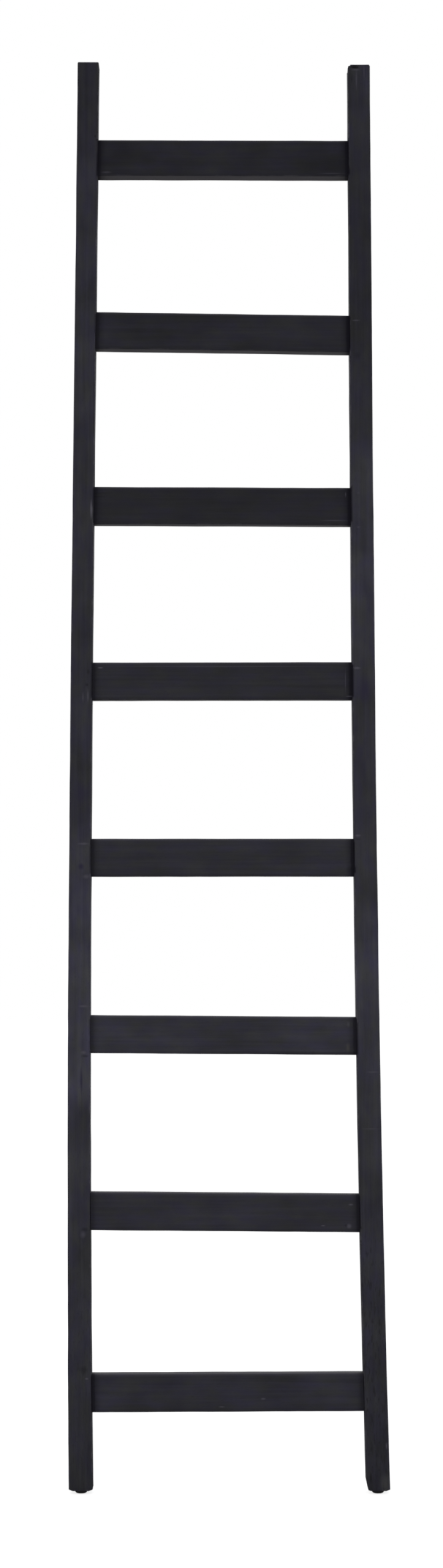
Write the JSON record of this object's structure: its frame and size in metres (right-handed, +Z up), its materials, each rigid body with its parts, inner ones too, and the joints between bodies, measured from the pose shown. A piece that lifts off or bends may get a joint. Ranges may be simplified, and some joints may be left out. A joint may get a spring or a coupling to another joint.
{
  "type": "decorative ladder",
  "caption": "Tall black-stained wooden leaning ladder with splayed, slightly bowed rails, flat rungs tenoned between them and a small glide under each rail.",
  "frame": {"origin": "middle of the ladder's bounding box at the floor, between the two glides", "axes": "+Z up along the rails, +X across the rungs to the right as seen from the front, -Y towards the viewer at the front, +Y towards the wall that it leans on"},
  "size_m": [0.4452, 0.035, 2],
  "materials": {
    "stained_wood": "solid wood, sanded by hand, stained black and lightly oiled, with grain and worn edges",
    "black_steel": "black oxide steel wood screws",
    "black_plastic": "moulded black polyethylene, scuffed underneath",
    "nail_steel": "bright drawn steel"
  },
  "bodies": {
    "root": {"left_rail": "stained_wood", "right_rail": "stained_wood", "rung_1": "stained_wood", "rung_2": "stained_wood", "rung_3": "stained_wood", "rung_4": "stained_wood", "rung_5": "stained_wood", "rung_6": "stained_wood", "rung_7": "stained_wood", "rung_8": "stained_wood", "left_rung_screws": "black_steel", "right_rung_screws": "black_steel", "left_glide": "black_plastic", "right_glide": "black_plastic", "left_glide_nail": "nail_steel", "right_glide_nail": "nail_steel"}
  },
  "joints": []
}
